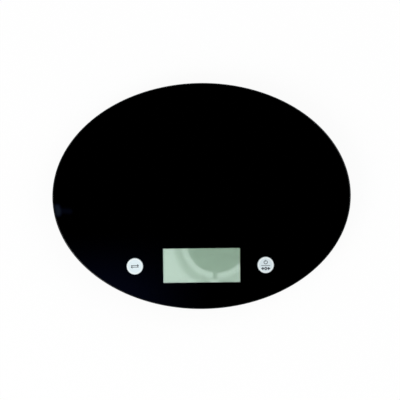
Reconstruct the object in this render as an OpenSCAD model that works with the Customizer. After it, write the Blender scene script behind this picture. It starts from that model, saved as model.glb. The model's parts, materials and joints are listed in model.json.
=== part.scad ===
// Oval digital kitchen scale. A glass weighing plate is bonded to a slim two-part housing.
// The housing stands on four feet, and each foot presses on its own load cell.
// A display and two push buttons sit near the front edge.
// X is the width, Y the depth with the front at minus Y, and Z is up.
// The origin is on the table, under the middle of the glass.

/* [Glass] */
// Width of the oval glass
glass_w = 230; // [226:1:250]
// Depth of the oval glass
glass_d = 174.2; // [172:0.2:190]
// Thickness of the glass
glass_t = 5; // [3:0.5:8]
// Rounding of the polished edge of the glass
glass_edge_r = 1; // [0.4:0.1:1.4]

/* [Display] */
// Width of the clear display window
window_w = 59.4; // [50:0.1:61]
// Depth of the clear display window
window_d = 26.4; // [20:0.1:27]
// Sideways place of the middle of the window
window_x = -0.5; // [-2:0.1:2]
// Distance from the front edge of the glass back to the line of the controls
control_reach = 33.5; // [32.6:0.1:35.1]

/* [Buttons] */
// Diameter of the face of a button
button_d = 12.7; // [10:0.1:14]
// Distance of the unit button from the middle, to the left
unit_button_reach = 51.9; // [49:0.1:53]
// Distance of the tare button from the middle, to the right
tare_button_reach = 48.8; // [48:0.1:53]
// Height of the face of a button above the glass
button_rise = 0.8; // [0.4:0.1:1.2]
// Distance that a button goes down
button_travel = 0.3; // [0.2:0.05:0.35]
// Gap round a button in the hole of the glass
button_gap = 0.25; // [0.15:0.05:0.4]

/* [Housing] */
// Distance from the edge of the glass in to the wall of the housing
housing_inset = 7; // [6:0.5:8]
// Height of the underside above the table
underside_z = 3; // [2.6:0.1:4]
// Thickness of the walls, the floor and the top plate
wall = 2; // [1.8:0.1:2.2]
// Height of the space inside the housing
inner_h = 6.5; // [6.5:0.1:8]
// Amount by which the side wall leans in from its top down to the seam
side_lean = 1.6; // [0.8:0.1:2]
// Rounding of the lower edge of the housing
edge_round = 3; // [2:0.1:3.4]
// Spacing of the stiffening ribs
rib_pitch = 20; // [16:1:30]

/* [Feet] */
// Distance of the feet from the middle, sideways
foot_x = 68; // [66:0.5:69]
// Distance of the feet from the front and back edges of the glass
foot_y = 48.1; // [47.1:0.1:49.1]
// Diameter of a foot cup
foot_d = 19.2; // [16:0.1:20]
// Thickness of a rubber foot pad
pad_t = 1.7; // [1.3:0.1:2]
// Distance that a foot drops in its well when the scale is lifted
foot_travel = 0.3; // [0.1:0.05:0.4]
// Thickness of the steel of a load cell
cell_t = 1.2; // [0.8:0.1:1.4]

/* [Battery] */
// Diameter of the coin battery
battery_d = 20; // [16:0.1:20]
// Thickness of the coin battery
battery_t = 3.2; // [2.5:0.1:3.2]
// Distance of the battery from the middle, towards the back
battery_y = 8; // [4:1:20]
// Angle that the battery cap turns from shut to free
cap_turn = 50; // [40:1:60]

/* [Hidden] */
$fn = 72;

// Extra length of a cutter past the face that it cuts
over = 1;
// Gap between two mouldings that slip into each other
slip_gap = 0.2;

// Levels of the stack, from the table up
floor_z = underside_z + wall;
plate_low = floor_z + inner_h;
housing_top = plate_low + wall;
tape_t = 0.35;
print_low = housing_top + tape_t;
print_t = 0.15;
glass_low = print_low + print_t;
glass_high = glass_low + glass_t;

// Half sizes of the oval outline of the glass
half_w = glass_w / 2;
half_d = glass_d / 2;

// Rows that keep their distance from the front and back edges of the glass
control_y = control_reach - half_d;
foot_row = half_d - foot_y;

// Insets from the outline of the glass, and the seam between the two housings
tape_inset = housing_inset + 1;
tape_w = 5;
seam_z = underside_z + 3.5;
seam_inset = housing_inset + side_lean;
lean_rate = side_lean / (housing_top - seam_z);
lip_t = 1;
lip_h = 1.5;
lip_inset = seam_inset + wall + slip_gap;
cavity_inset = lip_inset + lip_t;
plate_inset = housing_inset + wall * (1 + lean_rate);

// Display: the panel's back edge has a ledge of bare contacts that stands on the contact strip
window_back = control_y + window_d / 2;
window_front = control_y - window_d / 2;
panel_side = 2.3;
panel_front_margin = 1.5;
ledge_d = 2.6;
panel_half_w = window_w / 2 + panel_side;
panel_front = window_front - panel_front_margin;
panel_step = window_back + 0.5;
panel_back = panel_step + ledge_d;
panel_sheet_t = 1.1;
film_t = 0.2;
panel_t = 2 * panel_sheet_t + film_t;
panel_gap = 0.25;
panel_low = print_low - panel_gap - panel_t;
frame_wall = 1.6;
frame_shelf = 2;
frame_half_w = panel_half_w + slip_gap + frame_wall;
frame_front = panel_front - slip_gap - frame_wall;
frame_back = panel_back + slip_gap + frame_wall;
frame_top = panel_low + panel_t - 0.8;
strip_h = 2;
strip_d = 1.8;
peg_r = 0.8;
peg_inset = frame_wall / 2;

// Circuit board
board_t = 1.2;
board_high = panel_low - strip_h;
board_low = board_high - board_t;
board_gap = 0.4;
board_half_w = 57.5;
board_inset = cavity_inset + board_gap;
board_front = frame_front + 0.2;
board_back = frame_back + 3;
board_cut = [16.5, 12];
board_post_r = 2.4;
board_screw_r = 0.9;
board_screw_head_r = 1.9;
board_screw_head_t = 1.2;
board_screw_depth = plate_low + 0.8;
board_post_x = 40.5;
board_post_margin = 7;
board_post_front = board_front + board_post_margin;
board_post_back = board_back - board_post_margin;
board_posts = [for (x = [-board_post_x, board_post_x], y = [board_post_front, board_post_back]) [x, y]];

// Buttons and their switches
button_r = button_d / 2;
button_high = glass_high + button_rise;
button_edge_r = 0.6;
button_wall = 1.2;
flange_gap = 0.15;
flange_t = 0.8;
flange_reach = 1.15;
flange_r = button_r + flange_reach;
flange_high = print_low - flange_gap;
flange_low = flange_high - flange_t;
pocket_r = flange_r + 0.4;
pocket_low = flange_low - button_travel - 0.5;
key_w = 1.6;
key_reach = 1.1;
switch_w = 6.2;
switch_h = 2;
switch_top = board_high + switch_h;
stem_r = 1.6;
stem_gap = 0.1;
stem_sunk = 0.8;
press_z = switch_top + button_travel + 0.7;

// Stiffening ribs and screws of the housing
rib_t = 1.2;
rib_h = 1.2;
floor_rib_h = 1;
rib_front = board_back + 2;
boss_wall = 2.2;
screw_r = 1.2;
screw_gap = 0.05;
screw_head_r = 2.8;
screw_head_t = 1.8;
head_gap = 0.3;
through_r = screw_r + 0.4;
head_bore_r = screw_head_r + head_gap;
cover_boss_r = head_bore_r + wall / 2;
head_seat = floor_z + 0.2;
boss_low = floor_z + 2.5;
screw_depth = plate_low + 1;
side_screw_inset = 23;
front_screw = [61.5, 31.3 - half_d];
back_screw = [42, half_d - 27.1];
screw_spots = [
  for (side = [-1, 1])
    each [[side * front_screw[0], front_screw[1]],
          [side * (half_w - side_screw_inset), 0],
          [side * back_screw[0], back_screw[1]]]
];

// Feet, their wells and the load cells above them
foot_r = foot_d / 2;
foot_gap = 0.4;
flange_rim = 1.7;
foot_rim_r = foot_r + flange_rim;
foot_rim_low = floor_z + foot_travel;
foot_rim_t = 1;
stud_h = 0.9;
stud_r = 2.4;
cell_low = foot_rim_low + foot_rim_t + stud_h;
cell_high = cell_low + cell_t;
cell_seat = 1;
well_low_r = foot_rim_r + foot_gap;
cell_r = well_low_r + cell_seat;
well_high_r = cell_r + 0.1;
well_wall = 1.4;
well_r = well_high_r + well_wall;
well_top = cell_high + 1.2;
clamp_r = cell_r - 0.5;
clamp_wall = 2.3;
pad_seat = 1;
pad_rim = 1.1;
pad_r = foot_r - pad_rim;
cup_low = pad_t - pad_seat;
cup_floor_t = 1.4;
cup_wall = 1.4;
hub_r = 3.2;
foot_spots = [[-foot_x, -foot_row], [foot_x, -foot_row], [-foot_x, foot_row], [foot_x, foot_row]];
// Direction in which the lead leaves each load cell
lead_angles = [0, 180, -90, -90];

// Leads are flat ribbons level with the top of the board
lead_w = 2.4;
lead_t = 0.8;
lead_fold = 0.15;
lead_root = cell_r - 2.3;
lead_slot_w = lead_w + 1;
lead_lane_x = 46.5;
lead_slope = 0.85;
lead_bend_y = board_back + 20.7;
board_landing = 3.5;
battery_lead_w = 1.2;

// Battery bay and its bayonet cap
battery_r = battery_d / 2;
cap_ring_gap = 0.4;
cap_ring_wall = 1.8;
hub_gap = 0.2;
cap_hub_r = battery_r + cap_ring_gap + cap_ring_wall;
lip_r = cap_hub_r + hub_gap;
lug_reach = 1.7;
lug_r = cap_hub_r + lug_reach;
notch_r = lug_r + 0.3;
bay_r = notch_r + 0.3;
bay_wall = 1.2;
cap_disc_r = cap_hub_r + 1.4;
cap_disc_t = 0.8;
recess_depth = cap_disc_t + 0.1;
cap_floor_t = 1.6;
battery_low = underside_z + cap_floor_t;
battery_high = battery_low + battery_t;
lug_low = floor_z + 0.15;
lug_t = 1;
lug_count = 3;
lug_sweep = 24;
lug_play = 3;
stop_sweep = 8;
stop_inset = 0.3;
strip_t = 0.4;
contact_w = 4;
spring_drop = 0.7;
roof_low = battery_high + spring_drop + strip_t;
roof_t = 1;
tail_reach = bay_r + bay_wall + 1.4;
coin_slot = [13, 1.8, 0.9];

// An oval solid, inset from the outline of the glass. Its children draw a half section from the
// middle out to $rim, at least from low - over to high + over. The section is turned, drawn in to
// the depth of the oval and cut flat at both levels. It is made as four quarters, which keeps the
// curved walls in short true pieces.
module oval_turned(inset, low, high) {
  half = [half_w - inset, half_d - inset];
  block = [half[0] + over, half[1] + over, high - low];
  for (x = [-block[0], 0], y = [-block[1], 0])
    intersection() {
      scale([1, half[1] / half[0], 1])
        rotate_extrude()
          let ($rim = half[0])
            children();
      translate([x, y, low])
        cube(block);
    }
}

// An upright oval column
module oval_column(inset, low, high) {
  oval_turned(inset, low, high)
    translate([0, low - over])
      square([$rim, high - low + 2 * over]);
}

// An oval block whose side leans in from its top down to its bottom
module oval_lean(inset, low, high) {
  oval_turned(inset, low, high)
    polygon([
      [0, low - over],
      [$rim - lean_rate * (high - low + over), low - over],
      [$rim + lean_rate * over, high + over],
      [0, high + over]
    ]);
}

// A part of a ring, from one angle on through a sweep
module ring_sector(inner_r, outer_r, low, high, start, sweep) {
  rotate([0, 0, start])
    rotate_extrude(angle = sweep)
      translate([inner_r, low])
        square([outer_r - inner_r, high - low]);
}

// A straight tube
module tube(outer_r, inner_r, low, high) {
  difference() {
    translate([0, 0, low])
      cylinder(r = outer_r, h = high - low);
    translate([0, 0, low - over])
      cylinder(r = inner_r, h = high - low + 2 * over);
  }
}

// A round cutter between two levels
module bore(r, low, high) {
  translate([0, 0, low])
    cylinder(r = r, h = high - low);
}

// Children at the place of each button
module at_buttons() {
  for (x = [-unit_button_reach, tare_button_reach])
    translate([x, control_y, 0])
      children();
}

// Glass plate with a rounded edge and two holes for the buttons
module glass_platform() {
  color([0.02, 0.02, 0.03])
    difference() {
      oval_turned(0, glass_low, glass_high)
        glass_profile();
      at_buttons()
        bore(button_r + button_gap, glass_low - over, glass_high + over);
    }
}

// Half section of the glass, drawn past both faces so that they are cut flat
module glass_profile() {
  translate([0, glass_low - over])
    square([$rim - glass_edge_r, glass_t + 2 * over]);
  translate([0, glass_low + glass_edge_r])
    square([$rim, glass_t - 2 * glass_edge_r]);
  for (z = [glass_low + glass_edge_r, glass_high - glass_edge_r])
    translate([$rim - glass_edge_r, z])
      circle(r = glass_edge_r);
}

// Black layer fired on the underside of the glass, open at the window and the buttons
module back_print() {
  color([0.03, 0.03, 0.03])
    difference() {
      oval_column(glass_edge_r, print_low, glass_low);
      translate([window_x - window_w / 2, window_front, print_low - over])
        cube([window_w, window_d, print_t + 2 * over]);
      at_buttons()
        bore(button_r + button_gap, print_low - over, glass_low + over);
    }
}

// Foam tape that bonds the housing to the glass, kept clear of the display and the buttons
module mounting_tape() {
  color([0.85, 0.85, 0.82])
    difference() {
      oval_column(tape_inset, housing_top, print_low);
      oval_column(tape_inset + tape_w, housing_top - over, print_low + over);
      translate([window_x - panel_half_w - slip_gap, panel_front - slip_gap, housing_top - over])
        cube([
          2 * (panel_half_w + slip_gap),
          panel_back - panel_front + 2 * slip_gap,
          tape_t + 2 * over
        ]);
      at_buttons()
        bore(flange_r + slip_gap, housing_top - over, print_low + over);
    }
}

// Upper housing: top plate, side wall, clamps for the cells, bosses, posts and ribs
module upper_housing() {
  color([0.12, 0.12, 0.13])
    difference() {
      union() {
        difference() {
          oval_lean(housing_inset, seam_z, housing_top);
          oval_lean(plate_inset, seam_z - over, plate_low);
          for (spot = foot_spots)
            translate(spot)
              bore(well_r + slip_gap, seam_z - over, well_top + slip_gap);
          for (spot = screw_spots)
            translate(spot)
              bore(cover_boss_r + slip_gap, seam_z - over, boss_low);
          board_screw_room(seam_z - over, board_high);
        }
        top_ribs();
        for (i = [0:3])
          translate(foot_spots[i])
            cell_clamp(lead_angles[i]);
        for (spot = screw_spots)
          translate(spot)
            bore(screw_r + boss_wall, boss_low, plate_low + over);
        for (spot = board_posts)
          translate(spot)
            bore(board_post_r, board_high, plate_low + over);
      }
      display_opening();
      at_buttons()
        button_pocket();
      for (spot = screw_spots)
        translate(spot)
          bore(screw_r + screw_gap, boss_low - over, screw_depth);
      for (spot = board_posts)
        translate(spot)
          bore(board_screw_r + screw_gap, board_high - over, board_screw_depth);
    }
}

// Room that the walls leave round the heads of the board's screws
module board_screw_room(low, high) {
  for (spot = board_posts)
    translate(spot)
      bore(board_screw_head_r + head_gap, low, high);
}

// Distance from the middle line of an oval to its edge, at an offset along the other half size
function oval_reach(offset, across, along) = along * sqrt(1 - pow(offset / across, 2));

// Ribs under the top plate, kept clear of the board. They end inside the side wall.
module top_ribs() {
  low = plate_low - rib_h;
  reach = [half_w - plate_inset + wall / 2, half_d - plate_inset + wall / 2];
  spans = [floor(reach[0] / rib_pitch), floor(reach[1] / rib_pitch)];
  for (i = [-spans[0]:spans[0]]) {
    x = i * rib_pitch;
    back = oval_reach(x, reach[0], reach[1]);
    front = max(rib_front, -back);
    translate([x - rib_t / 2, front, low])
      cube([rib_t, back - front, rib_h + over]);
  }
  for (i = [ceil(rib_front / rib_pitch):spans[1]]) {
    y = i * rib_pitch;
    x = oval_reach(y, reach[1], reach[0]);
    translate([-x, y - rib_t / 2, low])
      cube([2 * x, rib_t, rib_h + over]);
  }
}

// Ring that holds a load cell down in its well, slotted for the lead
module cell_clamp(lead_angle) {
  difference() {
    tube(clamp_r, clamp_r - clamp_wall, cell_high, plate_low + over);
    rotate([0, 0, lead_angle])
      translate([0, -lead_slot_w / 2, cell_high - over])
        cube([well_r, lead_slot_w, board_high + lead_t + slip_gap - cell_high + over]);
  }
}

// Opening of the top plate for the display frame
module display_opening() {
  translate([window_x - frame_half_w - slip_gap, frame_front - slip_gap, seam_z - over])
    cube([
      2 * (frame_half_w + slip_gap),
      frame_back - frame_front + 2 * slip_gap,
      housing_top - seam_z + 2 * over
    ]);
}

// Pocket of the top plate for a button: a wide seat for the flange over a narrower lip
module button_pocket() {
  bore(pocket_r, pocket_low, housing_top + over);
  bore(button_r + 0.3, plate_low - over, pocket_low + over);
  translate([0, -key_w / 2 - slip_gap, pocket_low])
    cube([flange_r + key_reach + 2 * slip_gap, key_w + 2 * slip_gap, housing_top - pocket_low + over]);
}

// Bottom cover: dished floor, lap lip, foot wells, screw bosses and battery bay
module bottom_cover() {
  color([0.1, 0.1, 0.11])
    difference() {
      union() {
        difference() {
          union() {
            oval_turned(seam_inset, underside_z, seam_z)
              cover_profile();
            oval_column(lip_inset, seam_z - over, seam_z + lip_h);
          }
          oval_column(cavity_inset, floor_z, seam_z + lip_h + over);
        }
        floor_ribs();
        for (i = [0:3])
          translate(foot_spots[i])
            foot_well(lead_angles[i]);
        for (spot = screw_spots)
          translate(spot)
            bore(cover_boss_r, floor_z - over, boss_low);
        translate([0, battery_y, 0])
          bore(bay_r + bay_wall, floor_z - over, roof_low + roof_t);
      }
      for (spot = foot_spots)
        translate(spot)
          foot_well_bore();
      for (spot = screw_spots)
        translate(spot) {
          bore(head_bore_r, underside_z - over, head_seat);
          bore(through_r, underside_z - over, boss_low + over);
          bore(screw_r + boss_wall + slip_gap, boss_low, well_top + over);
        }
      translate([0, battery_y, 0])
        bay_bore();
      board_screw_room(board_low - board_screw_head_t - head_gap, seam_z + lip_h + over);
    }
}

// Half section of the bottom cover's outside, with a rounded lower edge
module cover_profile() {
  translate([0, underside_z - over])
    square([$rim - edge_round, seam_z - underside_z + 2 * over]);
  translate([0, underside_z + edge_round])
    square([$rim, seam_z - underside_z - edge_round + over]);
  translate([$rim - edge_round, underside_z + edge_round])
    circle(r = edge_round);
}

// Low ribs on the floor of the cover. They end inside the side wall.
module floor_ribs() {
  low = floor_z - over / 2;
  reach = [half_w - cavity_inset + wall / 2, half_d - cavity_inset + wall / 2];
  spans = [floor(reach[0] / rib_pitch - 0.5), floor(reach[1] / rib_pitch - 0.5)];
  for (i = [-spans[0] - 1:spans[0]]) {
    x = (i + 0.5) * rib_pitch;
    y = oval_reach(x, reach[0], reach[1]);
    translate([x - rib_t / 2, -y, low])
      cube([rib_t, 2 * y, floor_rib_h + over / 2]);
  }
  for (i = [-spans[1] - 1:spans[1]]) {
    y = (i + 0.5) * rib_pitch;
    x = oval_reach(y, reach[1], reach[0]);
    translate([-x, y - rib_t / 2, low])
      cube([2 * x, rib_t, floor_rib_h + over / 2]);
  }
}

// Wall of a foot well, notched for the lead
module foot_well(lead_angle) {
  difference() {
    bore(well_r, floor_z - over, well_top);
    rotate([0, 0, lead_angle])
      translate([0, -lead_slot_w / 2, board_high - slip_gap])
        cube([well_r + over, lead_slot_w, well_top]);
  }
}

// Inside of a foot well: hole for the cup, room for its rim, seat and room for the cell
module foot_well_bore() {
  bore(foot_r + foot_gap, underside_z - over, floor_z + over);
  bore(well_low_r, floor_z, cell_low + over);
  bore(well_high_r, cell_low, well_top + over);
}

// Inside of the battery bay: recess for the cap, lip with notches, stops and contact slots
module bay_bore() {
  bore(cap_disc_r + hub_gap, underside_z - over, underside_z + recess_depth);
  bore(lip_r, underside_z - over, floor_z + over);
  for (i = [0:lug_count - 1])
    ring_sector(
      lip_r - over,
      notch_r,
      underside_z + recess_depth - over / 2,
      floor_z + over,
      i * 360 / lug_count - cap_turn - lug_sweep / 2 - lug_play,
      lug_sweep + 2 * lug_play
    );
  difference() {
    bore(bay_r, floor_z, roof_low);
    for (i = [0:lug_count - 1])
      ring_sector(
        lip_r + stop_inset,
        bay_r + over,
        floor_z - over,
        lug_low + lug_t,
        i * 360 / lug_count + lug_sweep / 2 + lug_play,
        stop_sweep
      );
  }
  for (side = [-1, 1])
    translate([
      side > 0 ? 0 : -tail_reach - over,
      -contact_w / 2 - slip_gap,
      roof_low - strip_t - slip_gap
    ])
      cube([tail_reach + over, contact_w + 2 * slip_gap, strip_t + slip_gap]);
}

// Display panel: two glass sheets, the lower one with a ledge for its contacts
module lcd_panel() {
  color([0.62, 0.7, 0.63]) {
    translate([window_x - panel_half_w, panel_front, panel_low])
      cube([2 * panel_half_w, panel_back - panel_front, panel_sheet_t]);
    translate([window_x - panel_half_w, panel_front, panel_low])
      cube([2 * panel_half_w, panel_step - panel_front, panel_t]);
  }
}

// Frame that carries the panel over the board, with end shelves and pegs through the board
module display_frame() {
  color([0.8, 0.8, 0.78])
    union() {
      difference() {
        translate([window_x - frame_half_w, frame_front, board_high])
          cube([2 * frame_half_w, frame_back - frame_front, frame_top - board_high]);
        translate([window_x - panel_half_w - slip_gap, panel_front - slip_gap, panel_low])
          cube([
            2 * (panel_half_w + slip_gap),
            panel_back - panel_front + 2 * slip_gap,
            frame_top - panel_low + over
          ]);
        translate([window_x - panel_half_w + frame_shelf, panel_front - slip_gap, board_high - over])
          cube([
            2 * (panel_half_w - frame_shelf),
            panel_back - panel_front + 2 * slip_gap,
            frame_top - board_high + 2 * over
          ]);
      }
      at_frame_pegs()
        bore(peg_r, board_low, board_high + over);
    }
}

// Children at the four pegs of the display frame
module at_frame_pegs() {
  for (x = [-1, 1], y = [frame_front + frame_wall + 1, frame_back - frame_wall - 1])
    translate([window_x + x * (frame_half_w - peg_inset - frame_shelf), y, 0])
      children();
}

// Rubber strip that connects the panel to the board
module contact_strip() {
  color([0.35, 0.35, 0.4])
    translate([
      window_x - panel_half_w + frame_shelf + slip_gap,
      panel_step + (ledge_d - strip_d) / 2,
      board_high
    ])
      cube([2 * (panel_half_w - frame_shelf - slip_gap), strip_d, strip_h]);
}

// Circuit board, cut back at the front corners, inside the wall and round the feet and bosses
module circuit_board() {
  color([0.1, 0.4, 0.2])
    difference() {
      intersection() {
        translate([0, 0, board_low])
          linear_extrude(board_t)
            polygon([
              [-board_half_w + board_cut[0], board_front],
              [board_half_w - board_cut[0], board_front],
              [board_half_w, board_front + board_cut[1]],
              [board_half_w, board_back],
              [-board_half_w, board_back],
              [-board_half_w, board_front + board_cut[1]]
            ]);
        oval_column(board_inset, board_low - over, board_high + over);
      }
      for (spot = foot_spots)
        translate(spot)
          bore(well_r + board_gap, board_low - over, board_high + over);
      for (spot = screw_spots)
        translate(spot)
          bore(screw_r + boss_wall + board_gap, board_low - over, board_high + over);
      for (spot = board_posts)
        translate(spot)
          bore(board_screw_r + slip_gap, board_low - over, board_high + over);
      at_frame_pegs()
        bore(peg_r + screw_gap, board_low - over, board_high + over);
    }
}

// Chip under a round cap of resin, on the underside of the board
module main_chip() {
  chip_r = 7;
  chip_t = 1.5;
  color([0.05, 0.05, 0.05])
    translate([window_x, control_y, board_low - chip_t])
      difference() {
        cylinder(r1 = chip_r - chip_t, r2 = chip_r, h = chip_t);
        translate([0, 0, -over])
          cylinder(r = chip_r / 4, h = over + 0.2);
      }
}

// Small parts on the board: two rows of chips and a crystal can
module board_parts() {
  part_x = frame_half_w + 2.2;
  part_pitch = 3;
  capacitor = [1.6, 0.9, 0.7];
  resistor = [2, 1.2, 0.6];
  crystal_r = 0.9;
  crystal_l = 6;
  crystal_x = part_x + capacitor[0] + 1.2 * crystal_r;
  color([0.75, 0.68, 0.5])
    for (i = [-2:2])
      translate([window_x - part_x - capacitor[0] / 2, control_y + part_pitch * i, board_high])
        cube(capacitor);
  color([0.3, 0.3, 0.32])
    for (i = [-1:2])
      translate([window_x + part_x - resistor[0] / 2, control_y + part_pitch * (i - 0.5), board_high])
        cube(resistor);
  color([0.75, 0.75, 0.78])
    translate([window_x - crystal_x, control_y + crystal_l / 2, board_high + crystal_r])
      rotate([90, 0, 0])
        cylinder(r = crystal_r, h = crystal_l, $fn = 32);
}

// Push button: a hollow cap with a flange that is trapped under the glass
module button(x) {
  color([0.88, 0.93, 0.96])
    translate([x, control_y, 0])
      union() {
        difference() {
          rotate_extrude()
            button_profile();
          difference() {
            bore(button_r - button_wall, flange_low - over, button_high - button_wall);
            bore(stem_r, flange_low - 2 * over, button_high);
          }
        }
        bore(stem_r, press_z, flange_low + over);
        difference() {
          translate([0, -key_w / 2, flange_low])
            cube([flange_r + key_reach, key_w, flange_t]);
          bore(button_r - button_wall / 2, flange_low - over, flange_high + over);
        }
      }
}

// Half section of a button's outside
module button_profile() {
  translate([0, flange_low])
    square([flange_r, flange_t]);
  translate([0, flange_low])
    square([button_r - button_edge_r, button_high - flange_low]);
  translate([0, flange_low])
    square([button_r, button_high - button_edge_r - flange_low]);
  translate([button_r - button_edge_r, button_high - button_edge_r])
    circle(r = button_edge_r);
}

// Tact switch body with four legs and a hole for its stem
module switch_body(x) {
  leg = [1.4, 0.7, 0.2];
  color([0.2, 0.2, 0.22])
    translate([x, control_y, board_high])
      difference() {
        union() {
          translate([-switch_w / 2, -switch_w / 2, 0])
            cube([switch_w, switch_w, switch_h]);
          for (side = [-1, 1], row = [-1, 1])
            translate([side * (switch_w + leg[0]) / 2 - leg[0] / 2, row * 2.2 - leg[1] / 2, 0])
              cube(leg);
        }
        bore(stem_r + stem_gap, switch_h - stem_sunk - button_travel - slip_gap, switch_h + over);
      }
}

// Stem of a tact switch, touching the button above it
module switch_stem(x) {
  color([0.9, 0.9, 0.9])
    translate([x, control_y, 0])
      bore(stem_r, switch_top - stem_sunk, press_z);
}

// Load cell: a sprung steel disc with a tongue cut free in its middle
module load_cell(i) {
  slot_out = cell_r - 4.5;
  slot_in = slot_out - 1.6;
  root = 50;
  color([0.75, 0.76, 0.78])
    translate(foot_spots[i])
      rotate([0, 0, lead_angles[i]])
        difference() {
          bore(cell_r, cell_low, cell_high);
          ring_sector(slot_in, slot_out, cell_low - over, cell_high + over, root / 2, 360 - root);
          for (side = [-1, 1])
            rotate([0, 0, side * root / 2])
              translate([(slot_in + slot_out) / 2, 0, 0])
                bore((slot_out - slot_in) / 2, cell_low - over, cell_high + over);
        }
}

// Silicone over the strain gauges, at the root of each tongue
module gauge_seals() {
  seal_x = cell_r - 5.5;
  seal_r = 2.2;
  seal_t = 0.6;
  color([0.92, 0.92, 0.9])
    for (i = [0:3])
      translate(foot_spots[i])
        rotate([0, 0, lead_angles[i]])
          translate([seal_x, 0, cell_high])
            cylinder(r1 = seal_r, r2 = seal_r - seal_t / 2, h = seal_t);
}

// Foot cup: a rim that is trapped by the cover and a stud that lifts the cell's tongue
module foot_cup(i) {
  rim_high = foot_rim_low + foot_rim_t;
  pocket_floor = pad_t + cup_floor_t;
  color([0.16, 0.16, 0.17])
    translate(foot_spots[i])
      union() {
        difference() {
          union() {
            bore(foot_r, cup_low, rim_high);
            bore(foot_rim_r, foot_rim_low, rim_high);
          }
          bore(pad_r + 0.1, cup_low - over, pad_t);
          bore(foot_r - cup_wall, pocket_floor, rim_high + over);
        }
        bore(hub_r, pocket_floor - over / 2, rim_high);
        bore(stud_r, rim_high - over / 2, cell_low);
        for (turn = [0, 90])
          rotate([0, 0, turn])
            translate([-foot_r + cup_wall / 2, -rib_t / 2, pocket_floor - over / 2])
              cube([2 * foot_r - cup_wall, rib_t, rim_high - pocket_floor]);
      }
}

// Rubber pad of a foot, with a rounded lower edge
module foot_pad(i) {
  pad_round = 0.5;
  color([0.5, 0.5, 0.5])
    translate(foot_spots[i])
      rotate_extrude()
        union() {
          square([pad_r - pad_round, pad_t]);
          translate([0, pad_round])
            square([pad_r, pad_t - pad_round]);
          translate([pad_r - pad_round, pad_round])
            circle(r = pad_round);
        }
}

// A flat ribbon along a path, a little wider where it is folded round a corner
module ribbon(path, width, low) {
  for (i = [1:len(path) - 1]) {
    run = path[i] - path[i - 1];
    translate([path[i - 1][0], path[i - 1][1], low])
      rotate([0, 0, atan2(run[1], run[0])])
        translate([0, -width / 2, 0])
          cube([norm(run), width, lead_t]);
  }
  if (len(path) > 2)
    for (i = [1:len(path) - 2])
      translate([path[i][0], path[i][1], 0])
        bore(width / 2 + lead_fold, low, low + lead_t);
}

// Ribbon leads from the load cells to the board, each with a tail down to its cell
module sensor_leads() {
  land_y = board_back - board_landing;
  color([0.7, 0.2, 0.15])
    for (side = [-1, 1]) {
      front = [side * foot_x, -foot_row];
      back = [side * foot_x, foot_row];
      ribbon([
        front - [side * lead_root, 0],
        [side * (foot_x - well_r - board_landing), -foot_row]
      ], lead_w, board_high);
      ribbon([
        back - [0, lead_root],
        [side * foot_x, lead_bend_y],
        [side * lead_lane_x, lead_bend_y - (foot_x - lead_lane_x) * lead_slope],
        [side * lead_lane_x, land_y]
      ], lead_w, board_high);
      translate([front[0] - side * (lead_root + 1) - 1, front[1] - lead_w / 2, cell_high])
        cube([2, lead_w, board_high - cell_high + lead_t / 2]);
      translate([back[0] - lead_w / 2, back[1] - lead_root - 2, cell_high])
        cube([lead_w, 2, board_high - cell_high + lead_t / 2]);
    }
}

// Leads from the battery contacts to the board
module battery_leads() {
  color([0.15, 0.15, 0.15])
    for (side = [-1, 1])
      ribbon([
        [side * (tail_reach - battery_lead_w / 2), battery_y],
        [side * (tail_reach - battery_lead_w / 2), board_back - 2]
      ], battery_lead_w, max(board_high, roof_low));
}

// Coin battery: the can below and round the side, and the smaller lid on top
module battery_cell() {
  lid_t = 0.4;
  lid_r = battery_r - 1.4;
  color([0.8, 0.8, 0.8])
    translate([0, battery_y, 0])
      union() {
        bore(battery_r, battery_low, battery_high - lid_t);
        bore(lid_r, battery_low, battery_high);
      }
}

// Contact that touches the side of the battery
module positive_contact() {
  touch_low = lug_low + lug_t + 0.35;
  color([0.85, 0.8, 0.6])
    translate([0, battery_y, 0])
      union() {
        translate([battery_r, -contact_w / 2, touch_low])
          cube([strip_t, contact_w, roof_low - touch_low]);
        translate([battery_r, -contact_w / 2, roof_low - strip_t])
          cube([tail_reach - battery_r, contact_w, strip_t]);
        contact_tail();
      }
}

// Contact that presses on the top of the battery: flat at the roof, bent down to the middle
module negative_contact() {
  flat_end = -battery_r + 1;
  touch_end = -3;
  tip = 1.5;
  high = roof_low - strip_t;
  color([0.85, 0.8, 0.6])
    translate([0, battery_y, 0])
      union() {
        translate([0, contact_w / 2, 0])
          rotate([90, 0, 0])
            linear_extrude(contact_w)
              polygon([
                [-tail_reach, high],
                [flat_end, high],
                [touch_end, battery_high],
                [tip, battery_high],
                [tip, battery_high + strip_t],
                [touch_end, battery_high + strip_t],
                [flat_end, high + strip_t],
                [-tail_reach, high + strip_t]
              ]);
        mirror([1, 0, 0])
          contact_tail();
      }
}

// End of a contact outside the bay, turned up to meet its lead
module contact_tail() {
  translate([tail_reach - battery_lead_w, -contact_w / 2, roof_low - strip_t])
    cube([battery_lead_w, contact_w, max(board_high, roof_low) - roof_low + strip_t]);
}

// Battery cap: a disc with a coin slot, a ring round the battery and three bayonet lugs
module battery_cap() {
  color([0.14, 0.14, 0.15])
    translate([0, battery_y, 0])
      difference() {
        union() {
          bore(cap_disc_r, underside_z, underside_z + cap_disc_t);
          bore(cap_hub_r, underside_z, lug_low + lug_t);
          for (i = [0:lug_count - 1])
            ring_sector(
              cap_hub_r - over,
              lug_r,
              lug_low,
              lug_low + lug_t,
              i * 360 / lug_count - lug_sweep / 2,
              lug_sweep
            );
        }
        bore(battery_r + cap_ring_gap, battery_low, lug_low + lug_t + over);
        translate([-coin_slot[0] / 2, -coin_slot[1] / 2, underside_z - over])
          cube([coin_slot[0], coin_slot[1], coin_slot[2] + over]);
      }
}

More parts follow.
